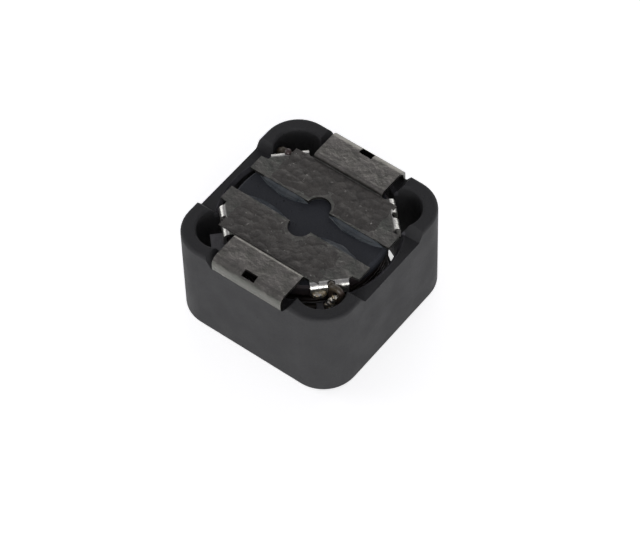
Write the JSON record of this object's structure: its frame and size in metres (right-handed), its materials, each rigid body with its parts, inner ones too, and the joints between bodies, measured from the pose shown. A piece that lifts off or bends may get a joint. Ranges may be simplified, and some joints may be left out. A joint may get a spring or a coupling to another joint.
{
  "type": "shielded surface-mount power inductor",
  "caption": "Low square ferrite ring with round corners around a wound drum core, with two bent sheet terminals whose flat pads face up.",
  "frame": {"origin": "centre of the plain face of the ring, on the surface that the inductor rests on", "axes": "+Z out of the solder pads, -Y towards the front pad, +Y towards the rear pad"},
  "size_m": [0.012, 0.012, 0.0072],
  "materials": {
    "ring_ferrite": "matt sintered ferrite",
    "core_ferrite": "smooth ground ferrite",
    "enamelled_wire": "enamelled copper, tinned at its ends",
    "tinned_sheet": "dull tin plate, lightly scratched",
    "clear_adhesive": "cured clear epoxy over dark ferrite",
    "solder": "rough bright solder",
    "grey_adhesive": "cured grey epoxy"
  },
  "bodies": {
    "root": {"shield_ring": "ring_ferrite", "drum_core": "core_ferrite", "coil_winding": "enamelled_wire", "terminal_front": "tinned_sheet", "terminal_rear": "tinned_sheet", "plate_adhesive_front": "clear_adhesive", "plate_adhesive_rear": "clear_adhesive", "lead_solder_front": "solder", "lead_solder_rear": "solder", "ring_bond_front_left": "grey_adhesive", "ring_bond_front_right": "grey_adhesive"}
  },
  "joints": []
}
